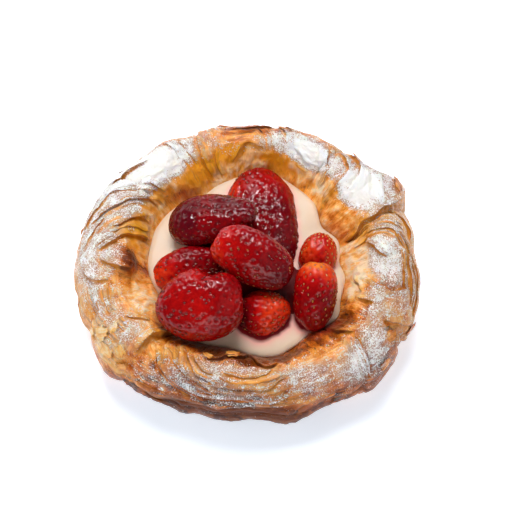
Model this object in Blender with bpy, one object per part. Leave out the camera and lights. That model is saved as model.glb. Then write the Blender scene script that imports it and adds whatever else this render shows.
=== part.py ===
"""Strawberry danish: a folded, laminated crust with a well of pastry cream and whole strawberries.

Axes: +X to the right, +Y to the back, +Z up.  The origin is the middle of the flat base.
Sizes are millimetres and degrees here, and turn to metres where a mesh is made.  Angles on the
crust are counted from +X towards +Y.
"""
import math
from collections import namedtuple

import bpy
import numpy as np
from mathutils import Euler, Matrix, Vector

MM = 0.001
GAP = 0.3                       # clearance kept between solids that touch

# ---- driving dimensions, mm -------------------------------------------------------------------
HALF_WIDTH = 53.3               # of the outline, before its bumps
HALF_DEPTH = 49.7
BASE_SHARE = 0.85               # the flat base, as a share of the outline
BELLY_HEIGHT = 11.0             # where the side is widest
CREST_HALF_WIDTH = 43.0         # the line along the top of the rim
CREST_HALF_DEPTH = 41.5
CREST_HEIGHT = 25.5
SLOPE_POWER = 1.6               # how round the rim's inner slope is: 1 is a cone, 2 is rounder
LIP_RADIUS = 30.6               # where the cream meets the crust
LIP_HEIGHT = 16.2
WELL_WALL = 7.0                 # how far the well narrows below the lip
FLOOR_THICKNESS = 8.0
CREAM_DOME = 3.6                # rise of the cream's middle above the lip
HULL_DIMPLE = 0.9               # the hollow left in a strawberry by its pulled stalk

# ---- mesh steps -------------------------------------------------------------------------------
STEPS_AROUND = 100
STEPS_OVER_RIM = 27
WELL_STEPS = 2
CREAM_STEPS_AROUND = 60
CREAM_RINGS = 8
BERRY_STEPS_AROUND = 14
BERRY_RINGS = 9

# ---- where the profile over the rim turns, as shares of its length -----------------------------
BELLY_AT = 0.26
CREST_AT = 0.62
FOOT_SHARE = 0.05               # below this the side is smooth, so that the base stays flat

# A bump: the angle where it is, how far it goes out, and the half-angle it takes to fade.
Bump = namedtuple("Bump", "at out fade")
OUTLINE_BUMPS = [
    Bump(6, -2.0, 11), Bump(31, 4.4, 7), Bump(53, 1.2, 7), Bump(106, 1.8, 9), Bump(120, 1.5, 6),
    Bump(148, 1.3, 10), Bump(200, 1.6, 10), Bump(217, 2.4, 10), Bump(243, -2.2, 12),
    Bump(268, -3.7, 19), Bump(312, 2.0, 8), Bump(330, 1.2, 9),
]
LIP_BUMPS = [
    Bump(79, 3.1, 17), Bump(31, -3.6, 11), Bump(5, -2.2, 9), Bump(121, -2.0, 11),
    Bump(158, 1.5, 24), Bump(183, 0.6, 8), Bump(200, -0.8, 9), Bump(256, -1.9, 14),
    Bump(286, 1.4, 10), Bump(311, -1.4, 7), Bump(326, 1.9, 11),
]

# A fold of dough lies between two creases.  start is the angle of its first crease at the foot
# of the side, sweep how far that crease turns on its way to the lip, swell how far the fold
# stands out between its creases, overlap how far its first side rides over its neighbour.
Fold = namedtuple("Fold", "name start sweep swell overlap")
FOLDS = [
    Fold("corner", 27, -14, 2.6, 1.0),
    Fold("shoulder", 52, 4, 2.0, 0.8),
    Fold("back", 112, -6, 2.2, -1.0),
    Fold("west_fan", 142, 4, 2.8, 0.8),
    Fold("south_west", 204, -8, 2.2, -1.2),
    Fold("front", 221, 6, 2.2, 1.2),
    Fold("knee", 311, 6, 2.0, 1.0),
    Fold("east_roll", 334, -8, 2.8, -1.2),
]

# Ridges left by the layers of the dough.  middle and reach are angles, count is how many ridges
# lie over the rim, lean how many of them the ridges climb over the whole reach.
Ridges = namedtuple("Ridges", "middle reach count lean height")
RIDGES = [
    Ridges(268, 46, 6, 0.8, 1.6),
    Ridges(165, 26, 5, -3.0, 1.5),
    Ridges(355, 26, 5, 2.4, 1.4),
    Ridges(84, 34, 4, 1.6, 0.9),
]

# A rolled-up end of dough: its angle, its share of the way over the rim, height and radius.
Knob = namedtuple("Knob", "at share height radius")
KNOBS = [Knob(183, 0.74, 2.2, 6.0), Knob(4, 0.60, 1.8, 8.0)]

# A strawberry: its middle, its length, width and thickness, the way its tip points (heading from
# +X, pitch above level) and its roll about that line, how much wider its shoulders are, and how
# blunt it is: 0 is an egg, and higher is nearer to a barrel.
Berry = namedtuple("Berry", "name middle size heading pitch roll taper blunt")
BERRIES = [
    Berry("crown", (3.6, 12.6, 18.0), (42.6, 24.8, 13.8), -88, -3, -2, -0.06, 0.18),
    Berry("west", (-11.1, 11.9, 26.8), (29.4, 18.4, 12.6), -4, 26, -14, 0.25, 0.30),
    Berry("middle", (1.1, -4.3, 31.7), (27.2, 16.8, 13.4), -24, -16, 24, 0.00, 0.15),
    Berry("front", (-15.1, -19.1, 28.8), (28.0, 23.0, 17.2), -173, -2, -26, 0.10, 0.05),
    Berry("behind", (-18.6, -3.2, 21.3), (24.0, 13.8, 12.0), 14, 6, 25, 0.10, 0.05),
    Berry("small", (4.6, -17.6, 19.6), (17.2, 15.2, 12.8), 13, 16, 26, 0.12, 0.05),
    Berry("east", (20.7, -13.4, 23.8), (21.8, 14.2, 13.6), -96, -30, -3, 0.05, 0.10),
    Berry("north_east", (21.9, 2.4, 20.2), (14.6, 12.4, 12.2), 76, 32, 7, 0.08, 0.08),
]


def clear_scene():
    for obj in list(bpy.data.objects):
        bpy.data.objects.remove(obj, do_unlink=True)


def srgb(hex_colour):
    """An sRGB hex colour as linear RGBA."""
    values = [int(hex_colour[i:i + 2], 16) / 255 for i in (1, 3, 5)]
    return [v / 12.92 if v <= 0.04045 else ((v + 0.055) / 1.055) ** 2.4 for v in values] + [1.0]


def material(name, colour, roughness, metallic=0.0):
    mat = bpy.data.materials.new(name)
    mat.use_nodes = True
    shader = mat.node_tree.nodes["Principled BSDF"]
    shader.inputs["Base Color"].default_value = srgb(colour)
    shader.inputs["Roughness"].default_value = roughness
    shader.inputs["Metallic"].default_value = metallic
    return mat


def add_mesh(name, points_mm, faces, mat=None):
    mesh = bpy.data.meshes.new(name)
    mesh.from_pydata([tuple(p) for p in np.asarray(points_mm) * MM], [], faces)
    mesh.update()
    mesh.shade_smooth()
    obj = bpy.data.objects.new(name, mesh)
    bpy.context.scene.collection.objects.link(obj)
    if mat is not None:
        mesh.materials.append(mat)
    return obj


# ---- shape of the crust -------------------------------------------------------------------------
def angle_between(a, b):
    """Signed difference of two angles, from -180 to 180."""
    return (a - b + 180) % 360 - 180


def bumps(angle, rows):
    return sum(row.out * np.exp(-(angle_between(angle, row.at) / row.fade) ** 2) for row in rows)


def ellipse_radius(angle, half_width, half_depth):
    turn = np.radians(angle)
    return 1 / np.hypot(np.cos(turn) / half_width, np.sin(turn) / half_depth)


def lip_radius(angle):
    return LIP_RADIUS + bumps(angle, LIP_BUMPS)


def profile(angle, share):
    """Radius and height of the smooth rim, from the base's edge (share 0) to the lip (share 1)."""
    outer = ellipse_radius(angle, HALF_WIDTH, HALF_DEPTH) + bumps(angle, OUTLINE_BUMPS)
    base = BASE_SHARE * outer
    crest = ellipse_radius(angle, CREST_HALF_WIDTH, CREST_HALF_DEPTH)
    lip = lip_radius(angle)
    low = np.clip(share / BELLY_AT, 0, 1) * math.pi / 2
    high = np.clip((share - BELLY_AT) / (CREST_AT - BELLY_AT), 0, 1) * math.pi / 2
    down = np.clip((share - CREST_AT) / (1 - CREST_AT), 0, 1)
    radius = base + (outer - base) * np.sin(low) - (outer - crest) * (1 - np.cos(high))
    height = BELLY_HEIGHT * (1 - np.cos(low)) + (CREST_HEIGHT - BELLY_HEIGHT) * np.sin(high)
    return (radius - (crest - lip) * down,
            height - (CREST_HEIGHT - LIP_HEIGHT) * down ** SLOPE_POWER)


def fold_relief(angle, share):
    """How far the folds of dough stand out: swollen in the middle, pinched in at the creases."""
    starts = [(fold.start + fold.sweep * share) for fold in FOLDS]
    relief = np.zeros_like(share)
    for i, fold in enumerate(FOLDS):
        width = (starts[(i + 1) % len(FOLDS)] - starts[i]) % 360
        along = ((angle - starts[i]) % 360) / width
        inside = along < 1
        along = np.clip(along, 0, 1)
        swell = fold.swell * (np.sqrt(np.sin(math.pi * along)) - 0.6)
        relief = np.where(inside, swell + fold.overlap * (0.5 - along), relief)
    return relief


def ridge_relief(angle, share):
    """Ridges of the layers: each rises slowly and ends in a steep edge."""
    relief = np.zeros_like(share)
    for row in RIDGES:
        along = angle_between(angle, row.middle) / row.reach
        layer = row.count * share + row.lean * along
        rise = layer - np.floor(layer)
        tooth = np.where(rise < 0.75, rise / 0.75, (1 - rise) / 0.25) - 0.5
        relief += row.height * tooth * np.clip(1.6 * (1 - along ** 2), 0, 1)
    return relief


def knob_relief(angle, share):
    rim_length = 46.0                                     # from foot to lip, over the crest
    relief = np.zeros_like(share)
    for knob in KNOBS:
        around = np.radians(angle_between(angle, knob.at)) * CREST_HALF_WIDTH
        across = (share - knob.share) * rim_length
        distance = np.hypot(around, across) / knob.radius
        relief += knob.height * (1.5 - distance ** 2) * np.exp(-distance ** 2)
    return relief


def crust_surface(angle, share):
    """Radius and height of the rim with its folds, ridges and knobs."""
    step = 0.004
    r0, z0 = profile(angle, np.clip(share - step, 0, 1))
    r1, z1 = profile(angle, np.clip(share + step, 0, 1))
    length = np.hypot(r1 - r0, z1 - z0)
    out_r, out_z = (z1 - z0) / length, (r0 - r1) / length
    fade = np.clip((share - FOOT_SHARE) / 0.12, 0, 1) * np.clip((1 - share) / 0.2, 0, 1)
    relief = fold_relief(angle, share) + ridge_relief(angle, share) + knob_relief(angle, share)
    radius, height = profile(angle, share)
    return radius + out_r * relief * fade, height + out_z * relief * fade


def ring(angles, radius, height):
    turn = np.radians(angles)
    return np.stack([radius * np.cos(turn), radius * np.sin(turn),
                     np.broadcast_to(height, np.shape(angles))], axis=1)


def join_rings(rings):
    """One closed mesh from rings of points, first ring at the bottom, both ends closed flat."""
    count = len(rings[0])
    faces = [list(range(count))[::-1]]
    for i in range(len(rings) - 1):
        a, b = i * count, (i + 1) * count
        faces += [[a + j, a + (j + 1) % count, b + (j + 1) % count, b + j] for j in range(count)]
    faces.append([(len(rings) - 1) * count + j for j in range(count)])
    return np.concatenate(rings), faces


def build_crust():
    angles = np.linspace(0, 360, STEPS_AROUND, endpoint=False)
    rings = []
    for share in np.linspace(0, 1, STEPS_OVER_RIM + 1):
        radius, height = crust_surface(angles, np.full(STEPS_AROUND, share))
        rings.append(ring(angles, radius, height))
    for step in range(1, WELL_STEPS + 1):
        down = step / WELL_STEPS
        height = LIP_HEIGHT - (LIP_HEIGHT - FLOOR_THICKNESS) * down
        rings.append(ring(angles, lip_radius(angles) - WELL_WALL * down, height))
    points, faces = join_rings(rings)
    return add_mesh("crust", points, faces, material("baked_laminated_dough", "#C8813F", 0.6))


# ---- pastry cream -------------------------------------------------------------------------------
def build_cream():
    """The filling of the well, domed, with a straight wall that clears the crust."""
    angles = np.linspace(0, 360, CREAM_STEPS_AROUND, endpoint=False)
    edge = lip_radius(angles) - 1.8 * GAP
    floor = FLOOR_THICKNESS + GAP
    rings = [ring(angles, edge - WELL_WALL, floor), ring(angles, edge, LIP_HEIGHT)]
    for step in range(1, CREAM_RINGS):
        share = 1 - step / CREAM_RINGS
        rings.append(ring(angles, edge * share, LIP_HEIGHT + CREAM_DOME * (1 - share ** 2)))
    points, faces = join_rings(rings)
    return add_mesh("pastry_cream", points, faces, material("pastry_cream", "#F1DDBB", 0.35))


# ---- strawberries -------------------------------------------------------------------------------
def berry_points(berry, grow=0.0):
    """Points of a strawberry: the stalk end first, the tip last."""
    length, width, thickness = (value + 2 * grow for value in berry.size)
    polar = np.linspace(0, math.pi, BERRY_RINGS + 1)
    swell = np.sin(polar) ** (1 - berry.blunt) * (1 + berry.taper * np.cos(polar))
    swell /= swell.max()
    turns = np.arange(BERRY_STEPS_AROUND) * 2 * math.pi / BERRY_STEPS_AROUND
    points = [(HULL_DIMPLE - length / 2, 0, 0)]
    for i in range(1, BERRY_RINGS):
        for turn in turns:
            points.append((-math.cos(polar[i]) * length / 2,
                           swell[i] * math.cos(turn) * width / 2,
                           swell[i] * math.sin(turn) * thickness / 2))
    points.append((length / 2, 0, 0))
    return points


def berry_faces():
    count = BERRY_STEPS_AROUND
    last = 1 + (BERRY_RINGS - 1) * count
    faces = []
    for j in range(count):
        nxt = (j + 1) % count
        faces.append([0, 1 + nxt, 1 + j])
        faces.append([last, last - count + j, last - count + nxt])
        for i in range(BERRY_RINGS - 2):
            a, b = 1 + i * count, 1 + (i + 1) * count
            faces.append([a + j, a + nxt, b + nxt, b + j])
    return faces


def build_berry(berry, mat, grow=0.0, name=None):
    obj = add_mesh(name or "strawberry_" + berry.name, berry_points(berry, grow), berry_faces(), mat)
    obj.location = Vector(berry.middle) * MM
    obj.rotation_euler = berry_turn(berry)
    return obj


def berry_turn(berry):
    """Roll about the berry's own line, then pitch its tip up, then turn it to its heading."""
    roll, pitch, heading = (math.radians(v) for v in (berry.roll, -berry.pitch, berry.heading))
    return Euler((roll, pitch, heading), "XYZ")


def cut_sockets(cream):
    """Press each berry, with its clearance, out of the cream."""
    for berry in BERRIES:
        cutter = build_berry(berry, None, GAP, "socket_" + berry.name)
        cutter.hide_render = True
        cutter.display_type = "WIRE"
        cut = cream.modifiers.new("socket_" + berry.name, "BOOLEAN")
        cut.operation = "DIFFERENCE"
        cut.solver = "EXACT"
        cut.object = cutter


def centre_on_base(objects):
    """Put the middle of the whole outline on the Z axis."""
    bpy.context.view_layer.update()
    corners = np.array([obj.matrix_world @ v.co for obj in objects for v in obj.data.vertices])
    middle = (corners.min(axis=0) + corners.max(axis=0)) / 2
    shift = Matrix.Translation((-middle[0], -middle[1], 0))
    for obj in bpy.data.objects:
        obj.matrix_world = shift @ obj.matrix_world


def main():
    clear_scene()
    crust = build_crust()
    cream = build_cream()
    berry_red = material("glazed_strawberry", "#8E1D1E", 0.2)
    berries = [build_berry(berry, berry_red) for berry in BERRIES]
    cut_sockets(cream)
    centre_on_base([crust] + berries)


main()
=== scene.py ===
"""Looks for the strawberry danish: laminated crust, pastry cream, glazed berries, icing sugar.

Sizes are millimetres and degrees, and turn to metres where a mesh is made.  Angles are counted
from +X towards +Y.  A place on the rim of the crust is an angle and a share: 0 is the foot of
the side, 1 is the lip where the cream starts.
"""
import math
from collections import namedtuple

import bpy
import numpy as np
from mathutils import Euler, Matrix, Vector
from mathutils.bvhtree import BVHTree


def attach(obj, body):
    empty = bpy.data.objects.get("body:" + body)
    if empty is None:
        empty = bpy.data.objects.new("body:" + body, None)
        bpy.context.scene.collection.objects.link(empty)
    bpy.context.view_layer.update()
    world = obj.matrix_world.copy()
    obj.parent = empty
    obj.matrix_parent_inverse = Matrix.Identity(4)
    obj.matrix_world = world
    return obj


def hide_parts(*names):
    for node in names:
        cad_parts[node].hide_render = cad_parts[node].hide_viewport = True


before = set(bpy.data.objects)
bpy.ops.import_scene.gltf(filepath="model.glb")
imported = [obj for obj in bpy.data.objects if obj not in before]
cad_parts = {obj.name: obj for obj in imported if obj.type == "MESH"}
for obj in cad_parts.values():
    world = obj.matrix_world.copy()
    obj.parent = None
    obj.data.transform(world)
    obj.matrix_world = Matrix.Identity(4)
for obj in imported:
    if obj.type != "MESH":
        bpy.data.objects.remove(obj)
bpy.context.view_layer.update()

MM = 0.001

# ---- driving dimensions, mm -------------------------------------------------------------------
HALF_WIDTH = 53.3               # of the outline, before its bumps
HALF_DEPTH = 49.7
BASE_SHARE = 0.85               # the flat base, as a share of the outline
BELLY_HEIGHT = 11.0             # where the side is widest
CREST_HALF_WIDTH = 43.0         # the line along the top of the rim
CREST_HALF_DEPTH = 41.5
CREST_HEIGHT = 25.5
SLOPE_POWER = 1.6               # how round the rim's inner slope is: 1 is a cone, 2 is rounder
LIP_RADIUS = 30.6               # where the cream meets the crust
LIP_HEIGHT = 16.2
WELL_WALL = 7.0                 # how far the well narrows below the lip
FLOOR_THICKNESS = 8.0
CREAM_DOME = 3.6                # rise of the cream's middle above the lip
RIM_LENGTH = 46.0               # from foot to lip, over the crest
BELLY_AT = 0.26
CREST_AT = 0.62
BASE_SHIFT = np.array([0.64, -1.37, 0])     # puts the outline's middle on the Z axis
FOOT_SHARE = 0.05               # below this the side is smooth, so that the base stays flat

# ---- mesh steps -------------------------------------------------------------------------------
STEPS_AROUND = 720              # points of the crust in each ring
STEPS_OVER_RIM = 122            # from foot to lip
WELL_STEPS = 3                  # from the lip down to the well's floor

# ---- splits, fibres and sugar, mm and shares ----------------------------------------------------
SPLIT_TAPER = 0.16              # the share of a split at each end over which it dies away
DEEPEST_AT = 285                # the angle where the grooves are deepest, at the front
SIDE_COUNT = 34                 # splits that run round the side
SIDE_SEED = 21
GUIDE_POINTS = 25               # along each guide line of a family of splits
INNER_SLOPE_AT = 0.68           # from here on the fibres run down into the well
FIBRE_RADIUS = 45.0             # turns degrees to mm for the fibres round the rim
SLOPE_SHORTENING = 2.4          # how much shorter the fibres are on the inner slope
FLOW_REACH = 2.4                # how near a split the fibres follow it
FLOW_STEP = 7.3                 # keeps the fibres of one split unlike those of the next
SUGAR_AMOUNT = 0.85
SUGAR_WHITE = "#FFFCF8"
DOUGH_MARKS = ("sugar", "groove", "bake", "amber", "stain", "edge", "flow")
Surface = namedtuple("Surface", "relief around across sugar groove bake amber stain flow")

# A bump on an outline seen from above: its angle, how far out it stands, and the degrees over which
# it fades.
Bump = namedtuple("Bump", "at out fade")
OUTLINE_BUMPS = [
    Bump(6, -2.0, 11), Bump(31, 4.4, 7), Bump(53, 1.2, 7), Bump(106, 1.8, 9), Bump(120, 1.5, 6),
    Bump(148, 1.3, 10), Bump(200, 1.6, 10), Bump(217, 2.4, 10), Bump(243, -2.2, 12),
    Bump(268, -3.7, 19), Bump(312, 2.0, 8), Bump(330, 1.2, 9),
]
LIP_BUMPS = [
    Bump(79, 3.1, 17), Bump(31, -3.6, 11), Bump(5, -2.2, 9), Bump(121, -2.0, 11),
    Bump(158, 1.5, 24), Bump(183, 0.6, 8), Bump(200, -0.8, 9), Bump(256, -1.9, 14),
    Bump(286, 1.4, 10), Bump(311, -1.4, 7), Bump(326, 1.9, 11),
]

# A fold of dough: where it starts at the foot, how far the crease has swept round by the lip, how
# far the fold swells, and how much higher it starts than it ends.
Fold = namedtuple("Fold", "name start sweep swell overlap")
FOLDS = [
    Fold("corner", 27, -14, 2.6, 1.0),
    Fold("shoulder", 52, 4, 2.0, 0.8),
    Fold("back", 112, -6, 2.2, -1.0),
    Fold("west_fan", 142, 4, 2.8, 0.8),
    Fold("south_west", 204, -8, 2.2, -1.2),
    Fold("front", 221, 6, 2.2, 1.2),
    Fold("knee", 311, 6, 2.0, 1.0),
    Fold("east_roll", 334, -8, 2.8, -1.2),
]

# A knuckle of dough that stands out of the rim.
Knob = namedtuple("Knob", "at share height radius")
KNOBS = [Knob(183, 0.74, 2.2, 6.0), Knob(4, 0.60, 1.8, 8.0)]

# A split is a line where one layer of dough ends on top of the next.  Its line is given by
# places on the rim, with the upper layer on its left.  depth is the groove at the foot of the
# edge, lip how far the edge lifts, width the groove's width, push how far the edge hangs over.
Split = namedtuple("Split", "line depth lip width push")
SPLITS = [
    # the fan of layers on the left
    Split([(149, .41), (144, .44), (139, .47), (133, .54)], 1.3, 1.0, 0.9, 0.7),
    Split([(168, .44), (164, .48), (154, .61), (150, .69), (144, .82), (143, .95)], 1.6, 1.2, 1.1, 0.8),
    Split([(155, .43), (150, .56), (144, .68), (141, .80)], 0.6, 0.5, 0.6, 0.3),
    Split([(169, .60), (166, .63), (161, .71), (154, .85)], 1.7, 1.0, 1.3, 0.7),
    Split([(171, .58), (169, .63), (165, .74), (160, .94)], 0.9, 0.7, 0.8, 0.5),
    Split([(179, .52), (176, .57), (170, .68), (166, .85), (164, 1.0)], 1.5, 1.0, 1.1, 0.7),
    Split([(180, .53), (184, .60), (187, .70), (187, .78)], 1.4, 1.2, 1.0, 0.6),
    Split([(172, .39), (178, .40), (184, .43), (189, .50), (192, .60)], 0.9, 0.8, 0.8, 0.4),
    Split([(180, .33), (188, .33), (197, .34), (207, .39)], 0.8, 0.7, 0.8, 0.4),
    Split([(142, .38), (150, .39), (161, .40), (170, .37)], 0.6, 0.5, 0.7, 0.3),
    # the back, where the layers run over the rim
    Split([(123, .50), (122, .56), (123, .68)], 0.7, 0.6, 0.7, 0.4),
    Split([(108, .36), (109, .45), (112, .64), (112, .74), (111, .83), (110, .92)], 1.2, 1.1, 0.8, 0.7),
    Split([(106, .70), (106, .76), (106, .84), (105, .95)], 0.6, 0.5, 0.7, 0.3),
    Split([(99, .86), (97, .80), (94, .70), (91, .67), (86, .69), (82, .74)], 0.9, 1.0, 0.8, 0.6),
    Split([(98, .50), (92, .52), (86, .50), (80, .47)], 0.7, 0.7, 0.8, 0.3),
    Split([(69, .66), (65, .68), (60, .73), (58, .75)], 1.5, 0.9, 1.0, 0.6),
    Split([(66, .80), (63, .81), (59, .83)], 1.1, 0.6, 0.9, 0.4),
    Split([(50, .88), (50, .82), (52, .71), (55, .60), (58, .50)], 0.9, 0.8, 0.5, 0.5),
    Split([(53, .48), (47, .53), (42, .60), (41, .70), (41, .79), (42, .91), (39, .98)],
          0.9, 0.8, 0.8, 0.4),
    Split([(50, .43), (44, .48), (39, .55), (36, .64), (36, .72)], 0.8, 0.7, 0.7, 0.4),
    Split([(20, .56), (24, .555), (30, .54), (38, .48)], 0.9, 0.8, 0.7, 0.5),
    # the roll on the right
    Split([(15, .97), (16, .86), (18, .78), (20, .68), (22, .54), (24, .44), (27, .36)],
          2.2, 1.4, 1.3, 1.0),
    Split([(21, .53), (17, .42), (9, .36)], 0.7, 0.7, 0.7, 0.4),
    Split([(15, .68), (12, .60), (6, .50), (358, .44)], 0.6, 0.7, 0.7, 0.4),
    Split([(9, .76), (7, .73), (3, .68), (357, .61)], 1.7, 1.1, 1.2, 0.6),
    Split([(9, .56), (5, .53), (2, .51)], 1.0, 0.5, 0.9, 0.3),
    Split([(349, .43), (344, .51), (342, .56), (343, .62), (345, .70), (347, .78)], 1.5, 1.3, 1.3, 0.5),
    Split([(351, .90), (346, .82), (341, .77)], 1.2, 0.8, 0.7, 0.5),
    Split([(339, .82), (338, .74), (337, .64)], 0.9, 0.6, 0.8, 0.4),
    Split([(333, .52), (335, .46), (338, .37), (343, .31)], 1.3, 1.0, 1.0, 0.9),
    Split([(328, .40), (332, .33), (338, .26)], 0.9, 0.8, 0.9, 0.6),
    # the knee at the lower right
    Split([(300, .30), (305, .30), (310, .31), (314, .38), (316, .47), (318, .57), (319, .63)],
          2.0, 0.8, 1.5, 0.6),
    Split([(317, .90), (318, .76), (321, .62)], 0.9, 0.6, 0.8, 0.3),
    Split([(283, .28), (289, .32), (296, .36), (305, .36)], 0.9, 0.8, 0.8, 0.5),
    # the front, where the layers lie along the rim
    Split([(222, .37), (233, .335), (244, .33), (255, .345), (270, .375), (284, .36), (293, .35)],
          1.4, 1.0, 1.1, 0.8),
    Split([(227, .60), (234, .52), (242, .455), (252, .42), (264, .43), (279, .405), (291, .43)],
          1.2, 0.9, 0.9, 0.6),
    Split([(230, .70), (238, .60), (246, .53), (256, .52), (266, .54), (276, .525), (287, .57)],
          1.1, 0.8, 0.8, 0.5),
    Split([(258, .62), (268, .61), (276, .62), (281, .67)], 0.8, 0.6, 0.8, 0.4),
    Split([(250, .74), (256, .79), (266, .83), (271, .95)], 0.8, 0.7, 0.9, 0.4),
    Split([(271, .95), (274, .80), (278, .71), (284, .76)], 0.8, 0.8, 0.8, 0.5),
    Split([(219, .28), (224, .27), (232, .235), (246, .23), (262, .245), (280, .25), (296, .24)],
          1.3, 0.9, 1.0, 0.7),
    Split([(224, .49), (223, .53), (222, .60), (223, .74), (227, .90)], 1.8, 1.6, 1.2, 1.0),
    Split([(211, .44), (216, .44), (221, .41)], 0.9, 0.8, 0.8, 0.5),
    Split([(209, .60), (212, .65), (217, .74)], 0.7, 0.7, 0.7, 0.4),
]

# A family is a set of thin splits laid between two guide lines: how many, how deep, and its seed.
Family = namedtuple("Family", "first last count depth seed")
FAMILIES = [
    Family([(176, .34), (160, .42), (148, .52), (139, .68), (135, .92)],
           [(178, .50), (172, .63), (167, .80), (166, .97)], 4, 0.4, 11),
    Family([(226, .88), (227, .70), (232, .50), (245, .37), (262, .35), (286, .33)],
           [(243, .84), (246, .72), (252, .63), (262, .59), (275, .59), (288, .62)], 7, 0.65, 12),
    Family([(216, .30), (228, .21), (246, .14), (268, .13), (296, .15)],
           [(220, .37), (232, .33), (247, .32), (268, .35), (294, .33)], 6, 0.75, 13),
    Family([(130, .36), (127, .60), (124, .90)],
           [(100, .40), (101, .60), (100, .90)], 4, 0.3, 14),
    Family([(96, .34), (92, .45), (86, .58), (82, .80)],
           [(74, .34), (70, .50), (66, .70), (64, .9)], 4, 0.3, 15),
    Family([(60, .36), (56, .60), (54, .88)],
           [(42, .40), (38, .62), (40, .92)], 4, 0.35, 16),
    Family([(14, .92), (17, .78), (19, .62), (14, .47), (4, .38), (352, .33), (340, .28)],
           [(7, .88), (9, .76), (8, .64), (2, .55), (354, .50), (346, .46)], 7, 0.45, 17),
    Family([(292, .20), (306, .20), (320, .20), (336, .20)],
           [(322, .50), (328, .46), (336, .42)], 5, 0.45, 18),
    Family([(182, .26), (194, .27), (206, .30), (220, .33)],
           [(194, .62), (203, .60), (214, .62)], 6, 0.4, 19),
]

# Where icing sugar lies: angle, share, half reach in degrees, half reach in share, how thick.
Patch = namedtuple("Patch", "at share reach reach_share amount")
SUGAR = [
    Patch(133, .62, 13, .17, 2.0), Patch(122, .62, 8, .12, .6), Patch(144, .46, 11, .12, 1.3),
    Patch(163, .50, 14, .11, .7), Patch(156, .66, 9, .10, .8), Patch(149, .74, 7, .10, .5),
    Patch(174, .62, 7, .09, .6), Patch(183, .46, 10, .09, .6), Patch(184, .62, 6, .07, .6),
    Patch(184, .79, 7, .08, -.9), Patch(197, .50, 10, .10, .4), Patch(208, .53, 9, .12, .4),
    Patch(217, .56, 7, .12, .4), Patch(112, .56, 9, .12, .35), Patch(104, .62, 7, .12, .2),
    Patch(82, .66, 8, .10, .5), Patch(76, .62, 8, .12, .6), Patch(92, .56, 11, .11, -.5),
    Patch(64, .66, 9, .13, 2.2), Patch(57, .76, 7, .10, .9), Patch(50, .62, 7, .15, .8),
    Patch(34, .66, 8, .13, 2.2), Patch(27, .60, 7, .12, .9), Patch(38, .50, 8, .10, .6),
    Patch(9, .62, 10, .12, .5), Patch(357, .66, 9, .11, .9), Patch(3, .50, 10, .09, .3),
    Patch(348, .58, 7, .09, .4), Patch(349, .46, 9, .10, .35), Patch(338, .66, 8, .09, .5),
    Patch(330, .56, 8, .11, .3), Patch(320, .52, 8, .11, .5), Patch(316, .42, 10, .12, .8),
    Patch(305, .53, 9, .10, .2), Patch(294, .54, 10, .11, .5), Patch(284, .60, 9, .10, .35),
    Patch(270, .66, 10, .08, .45), Patch(256, .62, 10, .09, .4), Patch(250, .48, 10, .08, .35),
    Patch(266, .49, 16, .08, .3), Patch(238, .45, 12, .12, .3), Patch(272, .32, 28, .05, .3),
    Patch(244, .24, 18, .04, .4), Patch(262, .40, 26, .06, .55), Patch(250, .60, 16, .10, .35),
    Patch(294, .42, 10, .06, .2), Patch(150, .42, 45, .22, .18), Patch(55, .50, 40, .24, .15),
    Patch(5, .42, 40, .24, .22), Patch(325, .42, 22, .20, .12), Patch(262, .22, 50, .13, -.8),
    Patch(176, .36, 26, .16, .22),
]

# How dark the crust is coloured: below zero is pale, above is brown.  Mostly how it baked, but some
# patches are painted shade (the front inner slope in the berries' shadow, the low front band) and some
# painted light (the paler inner slopes that face away from the key).
BAKE_AND_SHADE = [
    Patch(88, .50, 14, .10, 1.0), Patch(94, .66, 7, .06, .6), Patch(60, .44, 16, .10, .5),
    Patch(262, .14, 44, .14, 2.4), Patch(260, .40, 42, .16, .9), Patch(318, .24, 22, .12, 1.0),
    Patch(183, .77, 8, .09, 2.4), Patch(346, .60, 4, .08, .8), Patch(214, .40, 9, .10, -1.0),
    Patch(195, .25, 20, .10, .1), Patch(150, .33, 30, .12, -.35), Patch(200, .86, 18, .14, -.6),
    Patch(120, .86, 45, .16, -.55), Patch(150, .66, 25, .14, -.4), Patch(295, .26, 10, .10, -.4),
    Patch(262, .92, 38, .20, 3.0), Patch(318, .88, 18, .16, 2.1), Patch(184, .92, 5, .10, 1.3),
    Patch(50, .82, 16, .12, -.5), Patch(352, .84, 18, .13, -1.1), Patch(316, .36, 12, .14, .8),
    Patch(88, .82, 26, .14, -.4), Patch(128, .84, 14, .12, .7), Patch(165, .24, 30, .12, .1),
    Patch(118, .76, 36, .10, -.55), Patch(262, .24, 40, .10, 1.9),
]
# Where the dough is thin and amber.
AMBER = [
    Patch(100, .75, 6, .08, 1.0), Patch(90, .60, 5, .05, .9), Patch(29, .45, 3, .04, .9),
    Patch(25, .38, 3, .04, .9), Patch(262, .90, 8, .06, .9), Patch(278, .86, 6, .06, .8),
    Patch(118, .88, 10, .09, .7), Patch(168, .88, 12, .09, .8), Patch(358, .93, 3, .04, .3),
    Patch(160, .76, 14, .08, .7), Patch(76, .80, 8, .08, .6), Patch(246, .86, 8, .07, .7),
    Patch(88, .84, 30, .14, .4), Patch(170, .24, 34, .12, .4), Patch(352, .84, 20, .12, -.6),
    Patch(128, .84, 14, .12, .5), Patch(104, .78, 26, .12, .5), Patch(316, .84, 16, .12, .4),
]
# Where juice ran over the lip.
STAIN = [
    Patch(24, .97, 9, .09, .6), Patch(129, .95, 7, .07, .9), Patch(316, .93, 9, .09, .8),
    Patch(253, .95, 12, .06, .8), Patch(345, .97, 6, .05, .4), Patch(184, .98, 4, .05, .2),
]

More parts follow.
